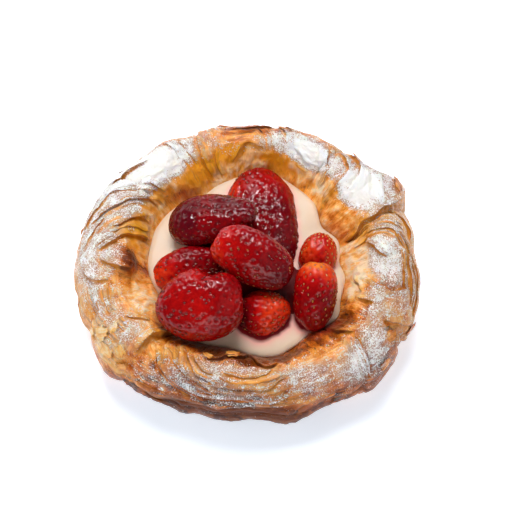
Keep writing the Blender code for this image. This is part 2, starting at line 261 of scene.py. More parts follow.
# A strawberry: its middle, its length, width and thickness, the way its tip points (heading from
# +X, pitch above level), its roll about that line, how much wider its shoulders are, how blunt it
# is, how ripe its shoulders and its tip are (0 orange, 1 maroon), the spacing of its seeds and how
# golden they are.
Berry = namedtuple("Berry", "name middle size heading pitch roll taper blunt shoulder tip spacing gold")
BERRIES = [
    Berry("crown", (3.6, 12.6, 18.0), (42.6, 24.8, 13.8), -88, -3, -2, -0.06, 0.18, .58, .74, 2.4, .15),
    Berry("west", (-11.1, 11.9, 26.8), (29.4, 18.4, 12.6), -4, 26, -14, 0.25, 0.30, .80, .74, 2.2, .15),
    Berry("middle", (1.1, -4.3, 31.7), (27.2, 16.8, 13.4), -24, -16, 24, .00, .15, .46, .62, 2.3, .30),
    Berry("front", (-15.1, -19.1, 28.8), (28.0, 23.0, 17.2), -173, -2, -26, 0.10, 0.05, .58, .54, 2.5, .15),
    Berry("behind", (-18.6, -3.2, 21.3), (24.0, 13.8, 12.0), 14, 6, 25, .10, .05, .46, .64, 2.3, .20),
    Berry("small", (4.6, -17.6, 19.6), (17.2, 15.2, 12.8), 13, 16, 26, 0.12, 0.05, .60, .32, 1.9, .45),
    Berry("east", (20.7, -13.4, 23.8), (21.8, 14.2, 13.6), -96, -30, -3, .05, .10, .26, .62, 2.5, .45),
    Berry("north_east", (21.9, 2.4, 20.2), (14.6, 12.4, 12.2), 76, 32, 7, .08, .08, .42, .34, 1.9, .85),
]

# A mark on a strawberry, at a place seen from above: how far it reaches, how much riper it is
# there, and how far the flesh stands out, in mm.
Mark = namedtuple("Mark", "berry x y reach ripe lift")
MARKS = [
    Mark("crown", -5.0, 24.0, 4.0, -.32, 0), Mark("crown", 8.0, 26.0, 6.0, -.05, .4),
    Mark("middle", -10.9, -2.8, 5.0, -.10, .3), Mark("middle", 8.4, -10.6, 7.0, .10, 0),
    Mark("behind", -28.0, -4.2, 6.0, -.16, 0), Mark("east", 22.2, -5.9, 6.0, -.16, 0),
    Mark("north_east", 19.0, 1.7, 4.0, -.10, 0), Mark("small", 9.0, -17.4, 5.0, -.12, 0),
    Mark("small", -1.5, -19.5, 4.0, .30, 0), Mark("front", -11.4, -9.4, 3.0, .10, -2.6),
    Mark("front", -18.0, -12.5, 4.0, -.05, .5), Mark("front", -5.5, -14.5, 4.5, 0, .6),
    Mark("west", -22.0, 10.0, 5.0, .05, .5),
]


# ---- small helpers ------------------------------------------------------------------------------
def srgb(hex_colour):
    """An sRGB hex colour as linear RGBA."""
    values = [int(hex_colour[i:i + 2], 16) / 255 for i in (1, 3, 5)]
    return [v / 12.92 if v <= 0.04045 else ((v + 0.055) / 1.055) ** 2.4 for v in values] + [1.0]


def angle_between(a, b):
    """Signed difference of two angles, from -180 to 180."""
    return (a - b + 180) % 360 - 180


def smooth(low, high, value):
    """0 at low, 1 at high, and a smooth rise between; low may be the larger."""
    t = np.clip((value - low) / (high - low), 0, 1)
    return t * t * (3 - 2 * t)


def lumps(points, size, seed):
    """Smooth noise from -1 to 1 with bumps about size across, the same on every run."""
    table = np.random.default_rng(seed).uniform(-1, 1, (32, 32, 32))
    cell = np.asarray(points) / size
    whole = np.floor(cell).astype(int)
    part = cell - whole
    part = part * part * (3 - 2 * part)
    total = np.zeros(len(cell))
    for corner in np.ndindex(2, 2, 2):
        i, j, k = ((whole + corner) % 32).T
        total += table[i, j, k] * np.prod(np.where(corner, part, 1 - part), axis=1)
    return total


def layered_lumps(points, *layers):
    """Noise of several sizes added together; each layer is a height, a size and a seed."""
    return sum(height * lumps(points, size, seed) for height, size, seed in layers)


def smooth_line(points, steps=8):
    """More points on a smooth curve through the given ones (Catmull-Rom)."""
    p = np.asarray(points, float)
    p = np.vstack([2 * p[0] - p[1], p, 2 * p[-1] - p[-2]])
    out = []
    for i in range(1, len(p) - 2):
        for t in np.arange(steps) / steps:
            out.append(0.5 * (2 * p[i] + (p[i + 1] - p[i - 1]) * t
                              + (2 * p[i - 1] - 5 * p[i] + 4 * p[i + 1] - p[i + 2]) * t ** 2
                              + (3 * p[i] - p[i - 1] - 3 * p[i + 1] + p[i + 2]) * t ** 3))
    out.append(p[-2])
    return np.array(out)


def unit(vectors):
    """The same directions with a length of 1."""
    return vectors / np.linalg.norm(vectors, axis=1)[:, None]


def round_point(radius, angle, height):
    """Points at a radius, an angle in degrees and a height."""
    turn = np.radians(angle)
    return np.stack(np.broadcast_arrays(radius * np.cos(turn), radius * np.sin(turn), height), 1)


def ring_faces(rows, count):
    """Faces of a closed form made of rings, both ends closed flat."""
    a = (np.arange(rows - 1)[:, None] * count + np.arange(count)).ravel()
    b = (np.arange(rows - 1)[:, None] * count + (np.arange(count) + 1) % count).ravel()
    faces = np.stack([a, b, b + count, a + count], 1).tolist()
    return [list(range(count))[::-1]] + faces + [[(rows - 1) * count + j for j in range(count)]]


def add_mesh(name, points_mm, faces, mat, values=None):
    """A smooth-shaded mesh object; values are numbers kept at each point under a name."""
    mesh = bpy.data.meshes.new(name)
    mesh.from_pydata((np.asarray(points_mm) * MM).tolist(), [], faces)
    mesh.update()
    mesh.shade_smooth()
    for key, numbers in (values or {}).items():
        numbers = np.asarray(numbers, float)
        kind, field = ("FLOAT", "value") if numbers.ndim == 1 else ("FLOAT_VECTOR", "vector")
        mesh.attributes.new(key, kind, "POINT").data.foreach_set(field, numbers.ravel())
    mesh.materials.append(mat)
    obj = bpy.data.objects.new(name, mesh)
    bpy.context.scene.collection.objects.link(obj)
    return obj


def add_piece(name, slot, mat, made, *nodes):
    """A piece of the pastry, with its finish and the plain solids that it stands for.  It is made
    round the middle of the well, and moved so that the whole lies centred on its base."""
    points, faces, *values = made
    piece = add_mesh(name, points + BASE_SHIFT, faces, mat, *values)
    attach(piece, "root")
    if nodes:
        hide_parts(*nodes)


def new_material(name):
    """A material, its node tree and its shader."""
    mat = bpy.data.materials.new(name)
    mat.use_nodes = True
    return mat, mat.node_tree, mat.node_tree.nodes["Principled BSDF"]


def connect(tree, node, inputs):
    """Give a node its inputs: a number, a hex colour or a link for each."""
    for key, value in inputs.items():
        if isinstance(value, bpy.types.NodeSocket):
            tree.links.new(value, node.inputs[key])
        else:
            node.inputs[key].default_value = srgb(value) if isinstance(value, str) else value


def add(tree, kind, inputs=None, stops=None, out=0, **settings):
    """Add a shader node with its settings, its inputs and a colour ramp's stops; gives its output."""
    made = tree.nodes.new("ShaderNode" + kind)
    for key, value in settings.items():
        setattr(made, key, value)
    connect(tree, made, inputs or {})
    if stops:
        ramp = made.color_ramp.elements
        while len(ramp) < len(stops):
            ramp.new(0.5)
        for element, (position, colour) in zip(ramp, stops):
            element.position = position
            element.color = srgb(colour)
    return made.outputs[out]


# ---- places on the rim --------------------------------------------------------------------------
def on_drum(angle, share):
    """A place on the rim as a point on a plain drum, so that noise joins up all the way round."""
    return round_point(CREST_HALF_WIDTH, angle, share * RIM_LENGTH)


def unrolled(angle, share):
    """A place on the rim as mm round it and mm over it."""
    return np.stack([np.radians(angle) * CREST_HALF_WIDTH, share * RIM_LENGTH], 1)


def rolled_up(flat):
    """The angle and share of a place given as mm round the rim and mm over it."""
    return np.degrees(flat[:, 0] / CREST_HALF_WIDTH), flat[:, 1] / RIM_LENGTH


def running_count(line):
    """The line with its angles as a running count, so that it can pass 0."""
    line = np.array(line, float)
    line[:, 0] = line[0, 0] + np.concatenate([[0], np.cumsum(angle_between(line[1:, 0], line[:-1, 0]))])
    return line


def spread(line, count):
    """count points evenly along a smooth line."""
    fine = smooth_line(line)
    step = np.hypot(*np.diff(unrolled(fine[:, 0], fine[:, 1]), axis=0).T)
    along = np.concatenate([[0], np.cumsum(step)])
    at = np.linspace(0, along[-1], count)
    return np.stack([np.interp(at, along, fine[:, 0]), np.interp(at, along, fine[:, 1])], 1)


def rim_grid():
    """Angle and share of every point of the rim's mesh, ring by ring from its foot to its lip."""
    angles = np.linspace(0, 360, STEPS_AROUND, endpoint=False)
    shares = np.linspace(0, 1, STEPS_OVER_RIM + 1)
    share, angle = (grid.ravel() for grid in np.meshgrid(shares, angles, indexing="ij"))
    return angle, share


def sample(grid, angle, share):
    """The value between grid points at any place on the rim."""
    grid = grid.reshape(STEPS_OVER_RIM + 1, STEPS_AROUND)
    column = (np.asarray(angle) % 360) / 360 * STEPS_AROUND
    row = np.clip(share, 0, 1) * STEPS_OVER_RIM
    j, i = np.floor(column).astype(int), np.minimum(np.floor(row).astype(int), STEPS_OVER_RIM - 1)
    u, v = column - j, row - i
    j, k = j % STEPS_AROUND, (j + 1) % STEPS_AROUND
    return ((grid[i, j] * (1 - u) + grid[i, k] * u) * (1 - v)
            + (grid[i + 1, j] * (1 - u) + grid[i + 1, k] * u) * v)


# ---- shape of the crust -------------------------------------------------------------------------
def bumps(angle, rows):
    """Rounded bumps at their angles, added together."""
    return sum(row.out * np.exp(-(angle_between(angle, row.at) / row.fade) ** 2) for row in rows)


def ellipse_radius(angle, half_width, half_depth):
    """Radius of an ellipse about the Z axis."""
    turn = np.radians(angle)
    return 1 / np.hypot(np.cos(turn) / half_width, np.sin(turn) / half_depth)


def lip_radius(angle):
    """Radius of the line where the cream meets the crust."""
    return LIP_RADIUS + bumps(angle, LIP_BUMPS)


def profile(angle, share):
    """Radius and height of the smooth rim, from the base's edge (share 0) to the lip (share 1)."""
    outer = ellipse_radius(angle, HALF_WIDTH, HALF_DEPTH) + bumps(angle, OUTLINE_BUMPS)
    base = BASE_SHARE * outer
    crest = ellipse_radius(angle, CREST_HALF_WIDTH, CREST_HALF_DEPTH)
    lip = lip_radius(angle)
    low = np.clip(share / BELLY_AT, 0, 1) * math.pi / 2
    high = np.clip((share - BELLY_AT) / (CREST_AT - BELLY_AT), 0, 1) * math.pi / 2
    down = np.clip((share - CREST_AT) / (1 - CREST_AT), 0, 1)
    radius = base + (outer - base) * np.sin(low) - (outer - crest) * (1 - np.cos(high))
    height = BELLY_HEIGHT * (1 - np.cos(low)) + (CREST_HEIGHT - BELLY_HEIGHT) * np.sin(high)
    return (radius - (crest - lip) * down,
            height - (CREST_HEIGHT - LIP_HEIGHT) * down ** SLOPE_POWER)


def rim_point(angle, share, relief, around=0, across=0):
    """A point on the rim, raised from the smooth profile and slid round it and over it, in mm."""
    step = 0.004
    r0, z0 = profile(angle, np.clip(share - step, 0, 1))
    r1, z1 = profile(angle, np.clip(share + step, 0, 1))
    length = np.hypot(r1 - r0, z1 - z0)
    along_r, along_z = (r1 - r0) / length, (z1 - z0) / length
    radius, height = profile(angle, share)
    radius = radius + along_z * relief + along_r * across
    height = np.maximum(height - along_r * relief + along_z * across, 0)
    turn = np.radians(angle)
    return np.stack([radius * np.cos(turn) - np.sin(turn) * around,
                     radius * np.sin(turn) + np.cos(turn) * around, height], 1)


def fold_relief(angle, share):
    """How far the folds of dough stand out: swollen in the middle, pinched in at the creases."""
    starts = [(fold.start + fold.sweep * share) for fold in FOLDS]
    relief = np.zeros_like(share)
    for i, fold in enumerate(FOLDS):
        width = (starts[(i + 1) % len(FOLDS)] - starts[i]) % 360
        along = ((angle - starts[i]) % 360) / width
        inside = along < 1
        along = np.clip(along, 0, 1)
        swell = fold.swell * (np.sqrt(np.sin(math.pi * along)) - 0.6)
        relief = np.where(inside, swell + fold.overlap * (0.5 - along), relief)
    return relief


def knob_relief(angle, share):
    """The two knuckles of dough, each with a shallow ditch round it."""
    relief = np.zeros_like(share)
    for knob in KNOBS:
        away = unrolled(angle_between(angle, knob.at), share - knob.share)
        distance = np.hypot(*away.T) / knob.radius
        relief += knob.height * (1.5 - distance ** 2) * np.exp(-distance ** 2)
    return relief


def patches(angle, share, rows):
    """Soft oval patches added together."""
    total = np.zeros_like(share)
    for row in rows:
        far = ((angle_between(angle, row.at) / row.reach) ** 2
               + ((share - row.share) / row.reach_share) ** 2)
        total += row.amount * np.exp(-far ** 1.5)
    return total


def sugar_fallen(angle, share):
    """How much icing sugar lies on the rim, before the splits are left bare."""
    return (SUGAR_AMOUNT * patches(angle, share, SUGAR) - 0.8 * smooth(.73, .85, share)
            - 0.5 * smooth(.14, .06, share))


def family_splits(family):
    """Thin splits laid between a family's two guide lines, broken into pieces of uneven length."""
    rng = np.random.default_rng(family.seed)
    first, last = (spread(running_count(line), GUIDE_POINTS) for line in (family.first, family.last))
    last[:, 0] += np.round((first[:, 0].mean() - last[:, 0].mean()) / 360) * 360
    made = []
    for i in range(family.count):
        level = np.clip((i + 0.5 + rng.uniform(-.35, .35)) / family.count, 0, 1)
        line = first * (1 - level) + last * level
        start = rng.integers(0, 5)
        while start < GUIDE_POINTS - 5:
            stop = min(GUIDE_POINTS, start + rng.integers(6, 22))
            depth = family.depth * rng.uniform(0.6, 1.5)
            made.append(Split(line[start:stop:2], 1.3 * depth, depth, rng.uniform(0.7, 1.1), 0.7 * depth))
            start = stop + rng.integers(-2, 3)
    return made


def side_splits():
    """Edges of the layers that run round the side of the crust."""
    rng = np.random.default_rng(SIDE_SEED)
    made = []
    for _ in range(SIDE_COUNT):
        start = rng.uniform(0, 360)
        reach = rng.uniform(30, 80)
        level = rng.uniform(.07, .34)
        angles = np.linspace(start, start + reach, 7)
        shares = level + np.cumsum(rng.uniform(-.015, .015, 7))
        depth = rng.uniform(0.4, 1.0)
        made.append(Split(np.stack([angles, shares], 1), depth, depth * 0.8, rng.uniform(.6, 1), 0.4))
    return made


def split_distance(angle, share, line):
    """The places near a split, their signed distance from it in mm (upper layer positive), how far
    along it each lies, from 0 to 1, the way to the upper layer, and the split's length."""
    fine = smooth_line(running_count(line), 6)
    ref = fine[:, 0].mean()
    path = unrolled(fine[:, 0] - ref, fine[:, 1])
    here = unrolled(angle_between(angle, ref), share)
    low, high = path.min(axis=0) - 8, path.max(axis=0) + 8
    near = np.nonzero(np.all((here > low) & (here < high), axis=1))[0]
    here = here[near]
    best = np.full(len(near), 1e9)
    signed = np.zeros(len(near))
    along = np.zeros(len(near))
    side = np.zeros((len(near), 2))
    length = np.concatenate([[0], np.cumsum(np.hypot(*np.diff(path, axis=0).T))])
    for i in range(len(path) - 1):
        a, run = path[i], path[i + 1] - path[i]
        size = np.hypot(*run)
        t = np.clip((here - a) @ run / size ** 2, 0, 1)
        gap = here - (a + t[:, None] * run)
        distance = np.hypot(gap[:, 0], gap[:, 1])
        closer = distance < best
        best[closer] = distance[closer]
        left = np.array([-run[1], run[0]]) / size
        signed[closer] = (distance * np.where(gap @ left >= 0, 1, -1))[closer]
        along[closer] = ((length[i] + t * size) / length[-1])[closer]
        side[closer] = left
    return near, signed, along, side, length[-1]


def edge_wander(drum):
    """How far a split strays from its drawn line, in mm."""
    return layered_lumps(drum, (0.3, 2.2, 31), (0.5, 5.0, 32))


def taper_at_ends(along):
    """0 at both ends of a split and 1 between."""
    return np.clip(np.minimum(along, 1 - along) / SPLIT_TAPER, 0, 1)


def fibre_flow(share, drum, angle):
    """Which way the fibres run: round the rim, and on its inner slope down into the well."""
    round_rim = np.radians(angle) * FIBRE_RADIUS
    inside = share > INNER_SLOPE_AT
    along = np.where(inside, SLOPE_SHORTENING * drum[:, 2], round_rim)
    return np.stack([along, np.where(inside, round_rim, drum[:, 2]), np.zeros_like(share)], 1)


def shape_crust(splits):
    """The relief of the rim: folds, splits between the layers, and crumpled skin."""
    angle, share = rim_grid()
    drum = on_drum(angle, share)
    fade = np.clip((share - FOOT_SHARE) / 0.12, 0, 1) * np.clip((1 - share) / 0.2, 0, 1)
    fine_fade = np.clip((share - 0.02) / 0.06, 0, 1) * np.clip((1 - share) / 0.05, 0, 1)
    relief = (fold_relief(angle, share) + knob_relief(angle, share)) * fade
    around, across, groove, hollow = (np.zeros_like(share) for _ in range(4))
    wander = edge_wander(drum)
    flow = fibre_flow(share, drum, angle)
    closest = np.full(len(share), FLOW_REACH)
    # The grooves are deepest at the front, where the layers lie along the rim.
    depth_here = 0.5 + 0.5 * smooth(0.2, 0.9, np.cos(np.radians(angle - DEEPEST_AT)))
    for number, split in enumerate(splits):
        near, signed, along, side, length = split_distance(angle, share, split.line)
        signed = signed + wander[near]
        closer = np.abs(signed) < closest[near]
        closest[near[closer]] = np.abs(signed[closer])
        own_flow = np.stack([along * length, signed, np.full(len(near), FLOW_STEP * number)], 1)
        flow[near[closer]] = own_flow[closer]
        strength = taper_at_ends(along) ** 0.7 * fine_fade[near]
        above = smooth(-0.6, 0.25, signed)
        over, below = np.maximum(signed, 0), np.maximum(-signed, 0)
        lift = split.lip * np.exp(-over / (1.0 + 1.4 * split.lip))
        sink = 0.8 * split.depth * np.exp(-(below / (1.3 * split.width)) ** 1.3)
        relief[near] += strength * (above * lift - (1 - above) * sink * depth_here[near])
        push = 0.6 * split.push * above * np.exp(-(over / 1.2) ** 2) * strength
        around[near] -= side[:, 0] * push
        across[near] -= side[:, 1] * push
        # A thin line at the foot of each split that the shader colours brown: painted shade in the groove.
        thin = np.exp(-((signed + 0.30) / (0.25 + 0.22 * split.width)) ** 2)
        wide = np.exp(-(np.minimum(signed + 0.2, 0) / (1.6 * split.width)) ** 2) * (signed < 0.3)
        groove[near] = np.maximum(groove[near], thin * strength * min(1, split.depth / 0.7))
        hollow[near] = np.maximum(hollow[near], wide * strength * min(1, split.depth / 1.2))

    # The skin is crumpled all over: in long soft creases down the inner slope, and in streaks that
    # run round the outside.  Its raised parts are painted paler and its creases browner: painted shade.
    inner = smooth(.66, .80, share)
    creases = drum * (1, 1, 0.28)
    streaks = drum * (0.22, 0.22, 1)
    skin = layered_lumps(drum, (0.30, 2.6, 42), (0.16, 1.2, 43))
    skin += inner * (layered_lumps(creases, (0.42, 3.0, 44), (0.26, 1.2, 45))
                     + 0.34 * lumps(drum, 2.8, 47))
    skin += (1 - inner) * 0.26 * lumps(streaks, 1.1, 46)
    relief += fine_fade * (0.6 * lumps(drum, 6.5, 41) + skin)
    sugar = sugar_fallen(angle, share) - 0.9 * groove - 0.6 * hollow + 0.3 * np.clip(skin, -.5, .5)
    # Darker in the skin's creases and paler on its raised parts: painted shade added to the baked tone.
    bake = (patches(angle, share, BAKE_AND_SHADE) + 0.25 * lumps(drum, 7, 51) + 0.35 * lumps(streaks, 2.0, 52)
            - (0.9 + 0.2 * inner) * np.clip(skin, -.6, .6))
    amber = patches(angle, share, AMBER) + 0.8 * inner * np.clip(-1.8 * skin, 0, 1) + 0.8 * hollow
    return Surface(relief, around, across, sugar, groove, bake, amber, patches(angle, share, STAIN), flow)


def build_crust(surface):
    """The shell of the crust, from the edge of its base over the rim and down into the well."""
    angle, share = rim_grid()
    rings = [rim_point(angle, share, surface.relief, surface.around, surface.across)]
    around = angle[:STEPS_AROUND]
    for down in np.arange(1, WELL_STEPS + 1) / WELL_STEPS:
        rings.append(round_point(lip_radius(around) - WELL_WALL * down, around,
                                 LIP_HEIGHT - (LIP_HEIGHT - FLOOR_THICKNESS) * down))
    faces = ring_faces(STEPS_OVER_RIM + 1 + WELL_STEPS, STEPS_AROUND)
    hidden = STEPS_AROUND * WELL_STEPS
    values = {name: np.concatenate([getattr(surface, name), np.zeros(hidden)])
              for name in ("sugar", "groove", "bake", "amber", "stain")}
    values["edge"] = np.zeros(len(angle) + hidden)
    values["flow"] = np.concatenate([surface.flow, np.zeros((hidden, 3))])
    return np.concatenate(rings), faces, values


# A leaf is the free edge of an upper layer: a thin strip that stands out over its split.
LEAF = [(1.5, -0.25), (0.8, 0.06), (0.1, 0.14), (-0.7, 0.16)]     # (inward, up) across a leaf, mm
LEAF_THICKNESS = 0.18
LEAF_STEP = 0.55                # between the points along a leaf
SHORTEST_LEAF = 3.0
SHALLOWEST_LEAF = 0.45          # a split less deep than this has no leaf


def leaf_section(split, surface, steps):
    """The rows of a leaf, from its root over its edge and back underneath: angle, share, height,
    slide, whether it is the outermost, and whether it is underneath."""
    line = spread(running_count(split.line), steps)
    flat = unrolled(line[:, 0], line[:, 1])
    run = unit(np.gradient(flat, axis=0))
    left = np.stack([-run[:, 1], run[:, 0]], 1)
    drum = on_drum(line[:, 0], line[:, 1])
    drift = edge_wander(drum)
    count = np.arange(steps)
    ends = np.clip(np.minimum(count, steps - 1 - count) / (SPLIT_TAPER * steps), 0, 1)
    ragged = 1 + layered_lumps(drum, (0.45, 1.3, 72), (0.35, 3.0, 73))
    curl = split.lip * (0.5 + 0.5 * lumps(drum, 4.0, 74))
    level = sample(surface.relief, *rolled_up(flat + left * (0.7 - drift)[:, None]))
    top, under = [], []
    for inward, up in LEAF:
        reach = inward if inward > 0 else inward * ragged * (0.2 + 0.6 * split.push) * ends
        angle, share = rolled_up(flat + left * (reach - drift)[:, None])
        own = sample(surface.relief, angle, share)
        height = own if inward > 0.5 else level + 0.25 * curl * (0.7 - inward)
        height = height * ends + own * (1 - ends) + np.where(ends > 0.3, up, up - 0.3)
        slide = (-0.6 * split.push * ends * (1.0 if inward < 0.5 else 0.4))[:, None] * left
        outermost = inward == LEAF[-1][0]
        top.append((angle, share, height, slide, outermost, False))
        under.append((angle, share, height - LEAF_THICKNESS, slide, outermost, True))
    return top + under[::-1]


def build_leaves(splits, surface):
    """The free edges of the upper layers, all one mesh."""
    points, faces = [], []
    values = {name: [] for name in DOUGH_MARKS}
    for number, split in enumerate(splits):
        fine = smooth_line(running_count(split.line), 6)
        length = np.hypot(*np.diff(unrolled(fine[:, 0], fine[:, 1]), axis=0).T).sum()
        if length < SHORTEST_LEAF or split.depth < SHALLOWEST_LEAF:
            continue
        steps = int(length / LEAF_STEP)
        first = sum(len(block) for block in points)
        rows = leaf_section(split, surface, steps)
        for angle, share, height, slide, outermost, under in rows:
            points.append(rim_point(angle, np.clip(share, 0, 1), height, slide[:, 0], slide[:, 1]))
            for name in ("bake", "amber", "stain"):
                values[name].append(sample(getattr(surface, name), angle, share))
            values["sugar"].append(np.full(steps, -1.0) if under else sugar_fallen(angle, share) - 0.05)
            values["flow"].append(np.stack([np.arange(steps) * LEAF_STEP, height,
                                            np.full(steps, FLOW_STEP * number)], 1))
            # A leaf's underside takes the groove's brown: painted shade under the leaf.
            values["groove"].append(np.full(steps, 0.7 if under else 0.0))
            values["edge"].append(np.full(steps, 1.0 if outermost else 0.0))
        grid = first + np.arange(len(rows))[:, None] * steps + np.arange(steps)
        for a, b in zip(grid, np.roll(grid, -1, axis=0)):
            faces += np.stack([a[:-1], b[:-1], b[1:], a[1:]], 1).tolist()
        faces.append(grid[:, 0].tolist()[::-1])
        faces.append(grid[:, -1].tolist())
    return np.concatenate(points), faces, {name: np.concatenate(rows) for name, rows in values.items()}


# A loose flake on the rim: where, its length and width in mm, its turn from the way round the rim,
# how far its free end lifts, and how dark it is baked.
Flake = namedtuple("Flake", "at share length width turn lift bake")
FLAKES = [
    Flake(209, .43, 4.6, 3.8, 60, 0.7, -.4), Flake(215, .40, 4.8, 3.4, 20, 0.8, -.3),
    Flake(211, .51, 3.0, 2.2, 80, 0.5, -.5), Flake(219, .46, 3.2, 2.6, -30, 0.5, -.2),
    Flake(205, .36, 3.4, 2.0, 75, 0.6, -.4), Flake(222, .38, 3.0, 2.0, 35, 0.6, .2),
    Flake(335, .44, 5.0, 3.4, -50, 1.0, .3), Flake(330, .41, 4.0, 3.0, -20, 0.9, .5),
    Flake(338, .27, 4.6, 2.6, -10, 0.9, .6), Flake(322, .33, 3.4, 2.2, 10, 0.7, .4),
    Flake(29, .43, 3.6, 2.6, 30, 0.8, .5), Flake(47, .40, 3.4, 2.2, -20, 0.7, .4),
    Flake(262, .82, 5.0, 2.6, 10, 0.4, .3), Flake(250, .76, 4.0, 2.2, -25, 0.4, .4),
    Flake(300, .24, 4.2, 2.0, 5, 0.7, .9), Flake(281, .20, 5.0, 1.8, 0, 0.6, 1.1),
    Flake(246, .19, 4.6, 1.8, 8, 0.6, 1.0), Flake(190, .30, 4.0, 2.2, 10, 0.6, .3),
    Flake(165, .36, 4.4, 2.0, -12, 0.6, .2), Flake(140, .40, 3.6, 2.0, -35, 0.6, .2),
    Flake(99, .40, 3.6, 2.4, 15, 0.3, .1), Flake(76, .42, 4.0, 2.2, -8, 0.3, .2),
]
FLAKE_STEPS = 9                 # points along each side of a flake


def build_flakes(surface):
    """Loose flakes of the outer layer, thin and curled, all one mesh."""
    rng = np.random.default_rng(81)
    points, faces = [], []
    values = {name: [] for name in DOUGH_MARKS}
    side = np.linspace(-1, 1, FLAKE_STEPS)
    v, u = (grid.ravel() for grid in np.meshgrid(side, side, indexing="ij"))
    to_rim = np.maximum(np.abs(u), np.abs(v))
    count = len(u)
    cells = np.arange(count).reshape(FLAKE_STEPS, FLAKE_STEPS)
    quads = np.stack([cells[:-1, :-1], cells[:-1, 1:], cells[1:, 1:], cells[1:, :-1]], 2).reshape(-1, 4)
    rim = np.concatenate([cells[0, :-1], cells[:-1, -1], cells[-1, :0:-1], cells[:0:-1, 0]])
    for number, flake in enumerate(FLAKES):
        ragged = 1 + 0.28 * rng.uniform(-1, 1, count) * (to_rim > 0.9)
        scale = (1 - 0.18 * (u ** 2) * (v ** 2)) * ragged / 2
        long, wide = u * flake.length * scale, v * flake.width * scale
        turn = math.radians(flake.turn)
        angle, share = rolled_up(np.stack([long * math.cos(turn) - wide * math.sin(turn),
                                           long * math.sin(turn) + wide * math.cos(turn)], 1))
        angle, share = flake.at + angle, np.clip(flake.share + share, 0.02, 0.98)
        middle = sample(surface.relief, flake.at, flake.share)
        rests_on = 0.5 * sample(surface.relief, angle, share) + 0.5 * middle
        height = rests_on + 0.15 + flake.lift * (0.5 + 0.5 * u) ** 2 + 0.25 * rng.uniform(-1, 1) * u * v
        for level, under in ((height + LEAF_THICKNESS, 0), (height, 1)):
            points.append(rim_point(angle, share, level))
            # A flake's underside takes part of the groove's brown: painted shade under the flake.
            marks = {"sugar": sample(surface.sugar, angle, share) - 0.35, "groove": under * 0.5, "amber": 0,
                     "stain": 0, "bake": flake.bake, "edge": 0.6 * (to_rim > 0.95)}
            for name, numbers in marks.items():
                values[name].append(np.zeros(count) + numbers)
            values["flow"].append(np.stack([long, wide, np.full(count, 9.1 * number)], 1))
        first = 2 * count * number
        faces += (quads + first).tolist() + (quads[:, ::-1] + first + count).tolist()
        faces += [[b + first, a + first, a + first + count, b + first + count]
                  for a, b in zip(rim, np.roll(rim, -1))]
    return np.concatenate(points), faces, {name: np.concatenate(rows) for name, rows in values.items()}


# ---- icing sugar --------------------------------------------------------------------------------
MOST_GRAINS = 14000
GRAIN_TRIES = 168000            # places looked at for a grain
GRAIN = np.array([(1, 0, 0), (0, 1, 0), (-1, 0, 0), (0, -1, 0), (0, 0, 1), (0, 0, -1)], float)
GRAIN_FACES = np.array([(0, 1, 4), (1, 2, 4), (2, 3, 4), (3, 0, 4),
                        (1, 0, 5), (2, 1, 5), (3, 2, 5), (0, 3, 5)])
GRAIN_SIZE = 0.09               # half the width of the smallest
GRAIN_SIZE_SPREAD = 0.13


def build_grains(surface):
    """Clumps of icing sugar standing on the rim, thickest where the sugar lies, all one mesh."""
    rng = np.random.default_rng(91)
    angle, share = rng.uniform(0, 360, GRAIN_TRIES), rng.uniform(0.12, 0.95, GRAIN_TRIES)
    drum = on_drum(angle, share)
    wanted = sample(surface.sugar, angle, share) - 0.1 + layered_lumps(drum, (0.5, 1.6, 92), (0.3, 5, 93))
    keep = np.nonzero(rng.uniform(0, 1, GRAIN_TRIES) < 0.5 * smooth(0.1, 1.0, wanted))[0][:MOST_GRAINS]
    angle, share = angle[keep], share[keep]
    lift, around, across = (sample(grid, angle, share)
                            for grid in (surface.relief, surface.around, surface.across))
    size = GRAIN_SIZE + GRAIN_SIZE_SPREAD * rng.uniform(0, 1, len(keep)) ** 2
    centre = rim_point(angle, share, lift + 0.3 * size, around, across)
    stretch = rng.uniform(0.7, 1.3, (len(keep), 1, 3))
    jitter = rng.normal(0, 0.18, (len(keep), 6, 3))
    form = (GRAIN[None] + jitter) * stretch * size[:, None, None]
    points = (centre[:, None, :] + form).reshape(-1, 3)
    faces = (GRAIN_FACES[None] + 6 * np.arange(len(keep))[:, None, None]).reshape(-1, 3)
    return points, faces.tolist()


def sugar_material():
    """Icing sugar, sifted on after baking: dry and pure white, it scatters light and never shines."""
    mat, tree, shader = new_material("icing_sugar")
    connect(tree, shader, {"Base Color": SUGAR_WHITE, "Roughness": 0.9, "IOR": 1.5})
    return mat


